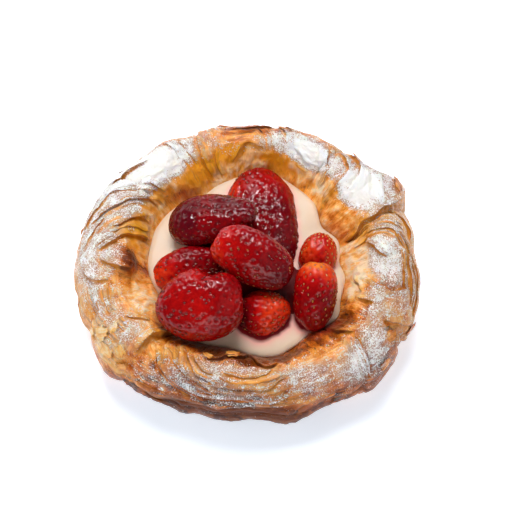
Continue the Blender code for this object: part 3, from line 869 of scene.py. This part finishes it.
# ---- finish of the dough ------------------------------------------------------------------------
def dough_material():
    """Baked laminated dough, egg-washed: a thin shine over gold with fibres that follow the layers,
    brown where it caught the heat, with painted shade in its creases, grooves and low front and painted
    light on slopes turned from the key, amber in the splits, with icing sugar lying in patches."""
    mat, tree, shader = new_material("baked_laminated_dough")
    here = add(tree, "TexCoord", out="Object")
    bake, amber, sugar, groove, edge, stain = (
        add(tree, "Attribute", out="Fac", attribute_name=name)
        for name in ("bake", "amber", "sugar", "groove", "edge", "stain"))

    # Fibres are drawn out seven times along the layers; the crumples are the same each way.
    flow = add(tree, "Attribute", out="Vector", attribute_name="flow")
    drawn_out = add(tree, "VectorMath", {0: flow, 1: (0.14, 1.0, 1.0)}, operation="MULTIPLY")
    streak, thin = (
        add(tree, "TexNoise", {"Vector": drawn_out, "Scale": 1 / size_mm, "Detail": detail}, out="Fac")
        for size_mm, detail in ((0.9, 3.0), (0.42, 2.0)))
    # The real grains are a tenth of the specks' size; as specks of half a millimetre they read as sugar.
    crumple_and_crease_shade, drift, speck = (
        add(tree, "TexNoise", {"Vector": here, "Scale": 1 / (size_mm * MM), "Detail": detail}, out="Fac")
        for size_mm, detail in ((2.4, 3.0), (2.6, 1.0), (0.42, 3.0)))

    # The tone is darker where the crumples sink in the bump below: painted shade in the creases.
    tone = add(tree, "Math", {0: bake, 1: 0.32}, operation="MULTIPLY")
    for source, least, most in ((crumple_and_crease_shade, -.04, .34), (streak, 0, .26), (thin, -.06, .16)):
        part = add(tree, "MapRange", {0: source, 1: .3, 2: .7, 3: least, 4: most})
        tone = add(tree, "Math", {0: tone, 1: part}, operation="ADD")
    gold = add(tree, "ValToRGB", {0: tone}, stops=[
        (0.0, "#FFE2BC"), (0.2, "#FCC074"), (0.42, "#F09A40"), (0.66, "#C05E12"), (1.0, "#6C2A06")])

    # How much of each colour shows over the gold.
    deep = add(tree, "MapRange", {0: bake, 1: .1, 2: .8})
    less_where_brown = add(tree, "MapRange", {0: bake, 1: 0, 2: 1.2, 3: .8, 4: .15})
    golden = add(tree, "Math", {0: amber, 1: less_where_brown}, operation="MULTIPLY", use_clamp=True)
    # Brown-purple where the sugar is thin: the dough showing through, with painted shade in the gaps
    # between the grains.
    dough_and_shade_under_sugar = add(tree, "MapRange", {0: sugar, 1: .1, 2: .6, 4: .6})
    more_where_brown = add(tree, "MapRange", {0: deep, 3: .25, 4: 1.0})
    dark_fibre = add(tree, "MapRange", {0: streak, 1: .47, 2: .37})
    strand = add(tree, "Math", {0: dark_fibre, 1: more_where_brown}, operation="MULTIPLY")
    # Brown in the grooves and under the leaves and flakes, darkest where the dough is deeply baked: painted
    # shade.
    groove_shade_mix = add(tree, "MapRange", {0: groove, 1: .15, 2: .85, 4: .9})
    on_edge = add(tree, "MapRange", {0: edge, 1: .4, 2: 1.0, 4: .7})
    juice = add(tree, "Math", {0: stain, 1: 0.6}, operation="MULTIPLY", use_clamp=True)
    cover = sugar
    for source, weight in ((speck, 4.0), (drift, 1.4), (streak, -1.3), (thin, -1.3)):
        cover = add(tree, "Math", {0: source, 1: weight, 2: cover}, operation="MULTIPLY_ADD")
    thick = add(tree, "MapRange", {0: cover, 1: 1.80, 2: 2.35})
    dust = add(tree, "MapRange", {0: sugar, 1: .05, 2: 1.1, 4: .34})
    white = add(tree, "Math", {0: thick, 1: dust}, operation="MAXIMUM")

    strand_brown, groove_shade_brown, edge_brown = (
        add(tree, "Mix", {0: deep, 6: pale, 7: dark}, out=2, data_type="RGBA")
        for pale, dark in (("#C4782C", "#4E2209"), ("#CC8430", "#54220C"), ("#8E4C20", "#54240C")))
    colour = gold
    for amount, tint in ((golden, "#E8941A"), (dough_and_shade_under_sugar, "#7E4630"), (strand, strand_brown),
                         (groove_shade_mix, groove_shade_brown), (on_edge, edge_brown), (juice, "#B4382E"),
                         (white, SUGAR_WHITE)):
        colour = add(tree, "Mix", {0: amount, 6: colour, 7: tint}, out=2, data_type="RGBA")

    height = 0.0
    for source, weight in ((streak, 0.8), (thin, 0.5), (white, 0.7), (crumple_and_crease_shade, -1.6)):
        height = add(tree, "Math", {0: source, 1: weight, 2: height}, operation="MULTIPLY_ADD")
    connect(tree, shader, {
        "Base Color": colour,
        "Roughness": add(tree, "MapRange", {0: white, 3: .38, 4: .9}),
        "IOR": 1.45,
        "Specular IOR Level": 0.3,
        "Coat Weight": add(tree, "MapRange", {0: white, 3: .3, 4: 0}),
        "Coat Roughness": 0.2,
        "Subsurface Weight": 0.3,
        "Subsurface Radius": (1.0, 0.5, 0.2),
        "Subsurface Scale": 1.5 * MM,
        "Normal": add(tree, "Bump", {"Height": height, "Strength": 0.8, "Distance": 0.5 * MM}),
    })
    return mat


# ---- pastry cream -------------------------------------------------------------------------------
CREAM_AROUND = 240
CREAM_RINGS = 60
CREAM_EDGE_SWELL = 0.9          # how high the rounded edge of the cream stands


def cream_edge(angle):
    """The cream laps a little way over the lip, with a wavering edge."""
    return lip_radius(angle) + 0.2 + 0.3 * lumps(round_point(31, angle, 0), 4, 62)


def cream_height(radius, angle):
    """Height of the cream: a low dome with soft waves and a rounded edge that lies on the crust."""
    share = np.clip(radius / cream_edge(angle), 0, 1)
    dome = LIP_HEIGHT + 0.3 + (CREAM_DOME - 0.3) * (1 - share ** 2)
    rounding = np.clip((share - 0.94) / 0.06, 0, 1)
    swell = CREAM_EDGE_SWELL * np.sqrt(1 - rounding ** 2) * smooth(.5, .9, share)
    return dome + swell + 0.35 * lumps(round_point(radius, angle, 0), 7, 61)


def build_cream(berry_trees):
    """The cream, closed underneath, with more juice soaked in beside the front berries."""
    angles = np.linspace(0, 360, CREAM_AROUND, endpoint=False)
    edge = cream_edge(angles)
    rings = [round_point(edge - 8, angles, FLOOR_THICKNESS + 0.3)]
    for share in 1 - (1 - np.linspace(1, 0.02, CREAM_RINGS)) ** 1.6:
        radius = edge * share
        rings.append(round_point(radius, angles, cream_height(radius, angles)))
    points = np.concatenate(rings)
    near = distances_to(points, berry_trees)[:, 0]
    wet = smooth(-8, -20, points[:, 1]) * smooth(30, 10, points[:, 0])
    soaked = np.exp(-(near / (0.9 + 0.9 * wet)) ** 1.2) * (0.6 + 0.9 * wet)
    return points, ring_faces(len(rings), CREAM_AROUND), {"stain": soaked}


def distances_to(points, trees):
    """Distances from each point to the three nearest berries."""
    return np.array([sorted(tree.find_nearest(Vector(p))[3] for tree in trees)[:3] for p in points])


def cream_material():
    """Pastry cream, boiled, chilled and piped: soft, pale, faintly wet, pink where juice ran."""
    mat, tree, shader = new_material("chilled_pastry_cream")
    here = add(tree, "TexCoord", out="Object")
    cloud = add(tree, "TexNoise", {"Vector": here, "Scale": 1 / (6 * MM), "Detail": 2.0}, out="Fac")
    stain = add(tree, "Attribute", out="Fac", attribute_name="stain")
    uneven = add(tree, "MapRange", {0: cloud, 1: 0.3, 2: 0.7, 3: 0.7, 4: 1.3})
    soaked = add(tree, "Math", {0: stain, 1: uneven}, operation="MULTIPLY")
    pink = add(tree, "MapRange", {0: soaked, 1: 0.05, 2: 0.45, 4: 0.85})
    red = add(tree, "MapRange", {0: soaked, 1: 0.45, 2: 0.95})
    colour = "#E3CDB6"
    for amount, tint in ((cloud, "#D9C1A8"), (pink, "#EDB0A4"), (red, "#7A0E18")):
        colour = add(tree, "Mix", {0: amount, 6: colour, 7: tint}, out=2, data_type="RGBA")
    connect(tree, shader, {
        "Base Color": colour, "Roughness": 0.35, "IOR": 1.45, "Subsurface Weight": 0.3,
        "Subsurface Radius": (1.0, 0.7, 0.4), "Subsurface Scale": 2 * MM})
    return mat


# ---- syrup, and painted shade in the gaps between the berries -----------------------------------
GAP_SHEET_STEP = 0.45               # between the points of its grid
GAP_SHEET_RISE = 1.5                # how high it stands where three berries meet
GAP_SHEET_DEPTH = 0.35              # how far its underside lies in the cream
GAP_SHEET_FREE = (15.5, 0.5, 3.0)   # a gap where the cream stays bare: x, y, reach


def build_syrup_and_gap_shade(trees):
    """Syrup that ran off the berries, and a dark sheet that fills the gaps between them as painted shade.
    """
    reach = LIP_RADIUS + 3
    line = np.arange(-reach, reach, GAP_SHEET_STEP)
    y, x = (grid.ravel() for grid in np.meshgrid(line, line, indexing="ij"))
    radius, angle = np.hypot(x, y), np.degrees(np.arctan2(y, x))
    cream = cream_height(radius, angle)
    near = distances_to(np.stack([x, y, cream + 2], 1), trees)
    free_x, free_y, free_reach = GAP_SHEET_FREE
    bare = np.exp(-((x - free_x) ** 2 + (y - free_y) ** 2) / free_reach ** 2)
    amid = smooth(9.5, 7.0, near[:, 2]) * (1 - bare)
    ripples = lumps(np.stack([x, y, np.zeros_like(x)], 1), 3.0, 91)
    top = GAP_SHEET_RISE * amid - 0.6 + 0.35 * ripples
    edge = np.clip((lip_radius(angle) - 2.0 - radius) / 3, -1, 1)
    top = np.minimum(top, 3 * edge)
    upper, lower = (np.stack([x, y, cream + offset], 1) for offset in (top, -GAP_SHEET_DEPTH))
    return slab(upper, lower, top > -0.05, len(line))


def slab(upper, lower, keep, columns):
    """A closed mesh from the kept cells of a grid, with an upper and a lower side."""
    keep = keep.reshape(-1, columns)
    cells = keep[:-1, :-1] & keep[1:, :-1] & keep[:-1, 1:] & keep[1:, 1:]
    rows, cols = np.nonzero(cells)
    corner = rows * columns + cols
    quads = np.stack([corner, corner + 1, corner + columns + 1, corner + columns], 1)
    edges = {}
    for quad in quads.tolist():
        for a, b in zip(quad, quad[1:] + quad[:1]):
            edges[(a, b)] = (b, a) not in edges
            if (b, a) in edges:
                edges[(b, a)] = False
    under = len(upper)
    faces = quads.tolist() + (quads[:, ::-1] + under).tolist()
    faces += [[b, a, a + under, b + under] for (a, b), free in edges.items() if free]
    used = np.unique(np.concatenate([np.ravel(face) for face in faces]))
    renumber = np.zeros(2 * under, int)
    renumber[used] = np.arange(len(used))
    return np.concatenate([upper, lower])[used], [renumber[face].tolist() for face in faces]


def syrup_and_gap_shade_material():
    """Strawberry syrup, thin, deep red and half matt; near black where it fills the gaps between the
    berries, as painted shade.
    """
    mat, tree, shader = new_material("dried_strawberry_syrup")
    here = add(tree, "TexCoord", out="Object")
    cloud = add(tree, "TexNoise", {"Vector": here, "Scale": 1 / (3 * MM), "Detail": 1.0}, out="Fac")
    connect(tree, shader, {
        "Base Color": add(tree, "Mix", {0: cloud, 6: "#460408", 7: "#6A080C"}, out=2, data_type="RGBA"),
        "Roughness": 0.5, "IOR": 1.44, "Specular IOR Level": 0.15, "Subsurface Weight": 0.2,
        "Subsurface Radius": (1.0, 0.15, 0.15), "Subsurface Scale": 1 * MM})
    return mat


# ---- strawberries -------------------------------------------------------------------------------
BERRY_STEP = 0.29               # between the points of a berry's mesh, mm
PIT_DEPTH = 0.30                # of the pit that holds a seed
PIT_REACH = 0.50
CUSHION = 0.15                  # how far the flesh swells between the pits
CUSHION_REACH = 0.95
DIMPLE = 1.6                    # how far the stalk end is drawn in
SEED_HALF_SIZE = (0.42, 0.23, 0.17)
SEED_STEPS, SEED_RINGS = 7, 4
SEED_STANDS = 0.12              # the middle of a seed above the bottom of its pit
SEEDS_FROM, SEEDS_TO = 0.22, 3.05       # polar angles between which the seeds grow
AREA_PER_SEED = 0.87            # as a share of their spacing squared, for rows like a honeycomb


def berry_form(berry, polar, turn):
    """Points on a smooth strawberry, stalk end at -x and tip at +x."""
    length, width, thickness = berry.size
    fine = np.linspace(0, math.pi, 200)
    power = 1 - berry.blunt
    widest = (np.sin(fine) ** power * (1 + berry.taper * np.cos(fine))).max()
    swell = np.clip(np.sin(polar), 0, 1) ** power * (1 + berry.taper * np.cos(polar)) / widest
    x = -np.cos(polar) * length / 2 + DIMPLE * np.exp(-(swell / 0.22) ** 2) * (polar < math.pi / 2)
    return np.stack([x, swell * np.cos(turn) * width / 2, swell * np.sin(turn) * thickness / 2], 1)


def berry_grid(steps, rings, pole=0.0):
    """Polar and turn angles of the points on a berry or a seed; pole is how near the ends they come."""
    polar = np.linspace(0, math.pi, rings + 1)[1:-1]
    turns = np.arange(steps) * 2 * math.pi / steps
    p, t = (grid.ravel() for grid in np.meshgrid(polar, turns, indexing="ij"))
    return np.concatenate([[pole], p, [math.pi - pole]]), np.concatenate([[0], t, [0]])


def berry_faces(count, rings):
    """Faces between the points of berry_grid, with a fan at each end."""
    last = 1 + (rings - 1) * count
    faces = []
    for j in range(count):
        nxt = (j + 1) % count
        faces.append([0, 1 + nxt, 1 + j])
        faces.append([last, last - count + j, last - count + nxt])
        for i in range(rings - 2):
            a, b = 1 + i * count, 1 + (i + 1) * count
            faces.append([a + j, a + nxt, b + nxt, b + j])
    return faces


def seed_places(berry):
    """Places of the seeds as polar and turn angles, on a spiral of even spacing."""
    polar = np.linspace(0, math.pi, 400)
    line = berry_form(berry, polar, np.zeros(400))
    step = np.hypot(np.diff(line[:, 0]), np.diff(line[:, 1]))
    girth = math.pi * (line[:, 1] * (1 + berry.size[2] / berry.size[1]))
    area = np.concatenate([[0], np.cumsum(step * (girth[1:] + girth[:-1]) / 2)])
    count = int(area[-1] / (berry.spacing ** 2 * AREA_PER_SEED))
    at = np.interp((np.arange(count) + 0.5) / count * area[-1], area, polar)
    turn = np.arange(count) * math.pi * (3 - math.sqrt(5))
    rng = np.random.default_rng(len(berry.name) + count)
    at = at + rng.normal(0, 0.04, count)
    turn = turn + rng.normal(0, 0.12, count)
    keep = (at > SEEDS_FROM) & (at < SEEDS_TO)
    return at[keep], turn[keep]


def berry_matrix(berry):
    """How a berry is turned as it lies on the cream."""
    roll, pitch, heading = (math.radians(v) for v in (berry.roll, -berry.pitch, berry.heading))
    return np.array(Euler((roll, pitch, heading), "XYZ").to_matrix())


def build_berry(berry):
    """A strawberry with lumps, a pit for each seed and flesh that swells between the pits."""
    steps = int(math.pi * (berry.size[1] + berry.size[2]) / 2 / BERRY_STEP)
    rings = int((berry.size[0] + berry.size[1] / 2) / BERRY_STEP)
    points = berry_form(berry, *berry_grid(steps, rings, 0.001))
    outward = unit(points - points * (0.6, 0, 0))
    seeds = berry_form(berry, *seed_places(berry))
    key = sum(ord(c) for c in berry.name)
    rng = np.random.default_rng(key)
    near = np.full(len(points), 1e9)
    depth = np.ones(len(points))
    for seed in seeds:
        distance = np.linalg.norm(points - seed, axis=1)
        depth[distance < near] = rng.uniform(0.5, 1.3)
        near = np.minimum(near, distance)
    lift = layered_lumps(points, (0.45, 6, key), (0.10, 2.6, key + 1), (0.03, 1.2, key + 3))
    pit = np.exp(-(near / PIT_REACH) ** 2)
    lift -= PIT_DEPTH * pit + CUSHION * depth * np.exp(-(near / CUSHION_REACH) ** 2)
    along = (points[:, 0] + berry.size[0] / 2) / berry.size[0]
    ripe = berry.shoulder + (berry.tip - berry.shoulder) * smooth(0.02, 0.55, along)
    ripe = ripe + 0.10 * lumps(points, 5, key + 2)
    turned = berry_matrix(berry).T
    flat = points @ turned + np.array(berry.middle)
    for mark in (m for m in MARKS if m.berry == berry.name):
        shade = np.exp(-(np.hypot(flat[:, 0] - mark.x, flat[:, 1] - mark.y) / mark.reach) ** 2)
        ripe = ripe + mark.ripe * shade
        lift = lift + mark.lift * shade * ((outward @ turned)[:, 2] > -0.3)
    world = flat + (outward @ turned) * lift[:, None]
    # The pit mask goes to the shader, which darkens the flesh in the pits as painted shade.
    return world, berry_faces(steps, rings), {"ripe": ripe, "hollow": pit}


def berry_material():
    """Strawberry flesh, cooked and brushed with clear fruit glaze: deep red, paler at the shoulders,
    under a wet shine."""
    mat, tree, shader = new_material("glazed_strawberry")
    here = add(tree, "TexCoord", out="Object")
    ripe, hollow = (add(tree, "Attribute", out="Fac", attribute_name=name) for name in ("ripe", "hollow"))
    cloud, ripple = (
        add(tree, "TexNoise", {"Vector": here, "Scale": 1 / (size_mm * MM), "Detail": detail}, out="Fac")
        for size_mm, detail in ((1.2, 2.0), (1.0, 1.0)))
    blur = add(tree, "MapRange", {0: cloud, 1: 0.3, 2: 0.7, 3: -0.06, 4: 0.06})
    level = add(tree, "Math", {0: ripe, 1: blur}, operation="ADD")
    flesh = add(tree, "ValToRGB", {0: level}, stops=[
        (0.0, "#F08A20"), (0.2, "#DC3A10"), (0.4, "#B80C0A"), (0.6, "#900206"), (0.8, "#62030E"),
        (1.0, "#3C0614")])
    # The flesh is darker in the seed pits: painted shade.
    pit_shade = add(tree, "Math", {0: hollow, 1: 0.4}, operation="MULTIPLY")
    glaze = add(tree, "Bump", {"Height": ripple, "Strength": 0.4, "Distance": 0.3 * MM})
    connect(tree, shader, {
        "Base Color": add(tree, "Mix", {0: pit_shade, 6: flesh, 7: "#4A0608"}, out=2, data_type="RGBA"),
        "Roughness": 0.4, "IOR": 1.36, "Specular IOR Level": 0.0,
        "Subsurface Weight": 0.15, "Subsurface Radius": (1.0, 0.2, 0.15), "Subsurface Scale": 1.5 * MM,
        "Coat Weight": 1.0, "Coat Roughness": 0.04, "Coat IOR": 1.44,
        "Normal": glaze, "Coat Normal": glaze})
    return mat


def build_seeds():
    """All the seeds as one mesh: small drops lying along the berries in their pits."""
    points, faces, golds = [], [], []
    p, t = berry_grid(SEED_STEPS, SEED_RINGS)
    drop = np.stack([-np.cos(p), np.sin(p) * np.cos(t), np.sin(p) * np.sin(t)], 1) * SEED_HALF_SIZE
    pattern = np.array([[*f, f[2]][:4] for f in berry_faces(SEED_STEPS, SEED_RINGS)])
    for berry in BERRIES:
        rng = np.random.default_rng(int(berry.spacing * 100) + len(berry.name))
        at, turn = seed_places(berry)
        here = berry_form(berry, at, turn)
        ahead = unit(berry_form(berry, at + 0.02, turn) - here)
        out = unit(np.cross(berry_form(berry, at, turn + 0.02) - here, ahead))
        out *= np.sign(np.sum(out * (here * [0.4, 1, 1]), axis=1))[:, None]
        beside = np.cross(out, ahead)
        turned = berry_matrix(berry).T
        for i in range(len(at)):
            local = (here[i] - out[i] * (PIT_DEPTH + CUSHION - SEED_STANDS)
                     + rng.uniform(0.85, 1.15) * drop @ np.stack([ahead[i], beside[i], out[i]]))
            faces.append(pattern + len(points) * len(drop))
            points.append(local @ turned + np.array(berry.middle))
            golds.append(np.full(len(drop), np.clip(rng.normal(berry.gold, 0.15), 0, 1)))
    flat = [list(dict.fromkeys(f)) for f in np.concatenate(faces).tolist()]
    return np.concatenate(points), flat, {"gold": np.concatenate(golds)}


def seed_material():
    """Strawberry seeds under the glaze: hard and smooth, straw gold to dark red, each with a spark."""
    mat, tree, shader = new_material("glazed_strawberry_seed")
    gold = add(tree, "Attribute", out="Fac", attribute_name="gold")
    connect(tree, shader, {
        "Base Color": add(tree, "ValToRGB", {0: gold}, stops=[
            (0.0, "#5C0C10"), (0.4, "#8C3016"), (1.0, "#D8A040")]),
        "Roughness": 0.3, "Coat Weight": 1.0, "Coat Roughness": 0.05})
    return mat


# ---- camera, floor and light --------------------------------------------------------------------
VIEW_ELEVATION = 64.0
VIEW_DISTANCE = 800.0
VIEW_ACROSS = 2.25              # how far the view is aimed from the middle of the base, mm
VIEW_UP = 10.6
LENS = 174.9
PASTRY_MIDDLE = (0, 0, 15)
FLOOR_REACH = 12000.0
FLOOR_DROP = 0.05               # keeps the floor from touching the base

# Small lamps round the back that are only mirrored, and give the glaze its many short glints:
# azimuth, elevation and width.
SPARKS = [(184, 62, 180), (214, 56, 150), (228, 44, 120), (200, 38, 110), (160, 50, 130), (146, 38, 90),
          (122, 50, 110)]
SPARK_POWER = 1.3               # of a lamp 100 mm wide, in watts

# A rectangular light: its azimuth (0 is the camera's side), elevation, distance, width and depth,
# its power in watts, whether it lights the pastry, and whether it is mirrored in the glaze.
Light = namedtuple("Light", "name azimuth elevation distance width depth power lights mirrored")
LIGHTS = [
    Light("key_behind", 187, 63, 1300, 700, 500, 15.8, True, False),
    *(Light(f"spark_{azimuth}", azimuth, elevation, 1500, size, size,
            SPARK_POWER * (size / 100) ** 2, False, True) for azimuth, elevation, size in SPARKS),
    Light("front_card", 6, 38, 1500, 1300, 700, 7.0, True, False),
    Light("front_card_in_glaze", 6, 27, 1500, 1300, 600, 5.0, False, True),
    Light("window_behind", 198, 46, 1500, 520, 380, 1.1, False, True),
    Light("low_card_behind", 204, 24, 1500, 620, 420, 1.2, False, True),
    Light("left_card", -75, 40, 1500, 1500, 1000, 6.0, True, False),
    Light("right_card", 75, 40, 1500, 1500, 1000, 1.0, True, True),
]


def look_at(obj, place, target):
    """Put a lamp or the camera at a place, in mm, facing a target."""
    obj.location = Vector(place) * MM
    obj.rotation_mode = "QUATERNION"
    obj.rotation_quaternion = (Vector(target) - Vector(place)).to_track_quat("-Z", "Y")


def build_camera():
    """A long lens in front of and above the pastry."""
    elevation = math.radians(VIEW_ELEVATION)
    up = Vector((0, math.sin(elevation), math.cos(elevation)))
    back = Vector((0, -math.cos(elevation), math.sin(elevation)))
    aim = Vector((VIEW_ACROSS, 0, 0)) + Vector(BASE_SHIFT) + up * VIEW_UP
    camera = bpy.data.cameras.new("camera")
    camera.lens = LENS
    camera.sensor_width = 36
    camera.clip_start = 0.01
    camera.clip_end = 50
    obj = bpy.data.objects.new("camera", camera)
    bpy.context.scene.collection.objects.link(obj)
    look_at(obj, aim + back * VIEW_DISTANCE, aim)
    bpy.context.scene.camera = obj


def build_light(light):
    """A light that faces the pastry and that the camera doesn't see."""
    lamp = bpy.data.lights.new(light.name, "AREA")
    lamp.shape = "RECTANGLE"
    lamp.size = light.width * MM
    lamp.size_y = light.depth * MM
    lamp.energy = light.power
    obj = bpy.data.objects.new(light.name, lamp)
    bpy.context.scene.collection.objects.link(obj)
    a, e = math.radians(light.azimuth), math.radians(light.elevation)
    back = Vector((math.sin(a) * math.cos(e), -math.cos(a) * math.cos(e), math.sin(e)))
    look_at(obj, Vector(PASTRY_MIDDLE) + back * light.distance, PASTRY_MIDDLE)
    obj.visible_camera = False
    obj.visible_diffuse = light.lights
    obj.visible_glossy = light.mirrored


def floor_material():
    """Opal white acrylic, cast and lit from below: no gloss, and shadows that stay pale and cool."""
    mat, tree, shader = new_material("cast_opal_acrylic")
    connect(tree, shader, {
        "Base Color": "#E8ECF4", "Roughness": 0.9, "Specular IOR Level": 0.1,
        "Emission Color": "#E0EAF5", "Emission Strength": 0.62})
    return mat


def build_studio():
    """The floor, the lights and a dim room round them."""
    corners = [(x * FLOOR_REACH, y * FLOOR_REACH, -FLOOR_DROP)
               for x, y in ((-1, -1), (1, -1), (1, 1), (-1, 1))]
    floor = add_mesh("floor", corners, [[0, 1, 2, 3]], floor_material())
    for light in LIGHTS:
        build_light(light)
    world = bpy.data.worlds.new("studio")
    world.use_nodes = True
    bpy.context.scene.world = world
    tree = world.node_tree
    # Brighter near the horizon, as a room with pale walls is.
    direction = add(tree, "TexCoord", out="Generated")
    height = add(tree, "SeparateXYZ", {0: direction}, out="Z")
    low = add(tree, "MapRange", {0: height, 1: 0.05, 2: 0.25, 3: 0.20, 4: 0.07})
    connect(tree, tree.nodes["Background"], {"Strength": low, "Color": "#FFF8F4"})
    bpy.context.scene.view_settings.view_transform = "Standard"


# ---- the pastry ---------------------------------------------------------------------------------
def main():
    """The view, the crust with what lies on it, and then what lies in its well."""
    build_camera()
    build_studio()
    splits = SPLITS + [split for family in FAMILIES for split in family_splits(family)] + side_splits()
    surface = shape_crust(splits)
    dough = dough_material()
    add_piece("crust_shell", "baked_dough", dough, build_crust(surface), "crust")
    add_piece("layer_edges", "baked_dough", dough, build_leaves(splits, surface))
    add_piece("loose_flakes", "baked_dough", dough, build_flakes(surface))
    add_piece("sugar_grains", "icing_sugar", sugar_material(), build_grains(surface))

    glazed = berry_material()
    trees = []
    for berry in BERRIES:
        made = build_berry(berry)
        add_piece("berry_" + berry.name, "strawberry", glazed, made, "strawberry_" + berry.name)
        trees.append(BVHTree.FromPolygons(made[0].tolist(), made[1]))
    add_piece("achenes", "achene", seed_material(), build_seeds())
    add_piece("cream_filling", "pastry_cream", cream_material(), build_cream(trees), "pastry_cream")
    # Syrup, with a dark sheet in the gaps between the berries as painted shade.
    add_piece("syrup", "fruit_juice", syrup_and_gap_shade_material(), build_syrup_and_gap_shade(trees))


main()
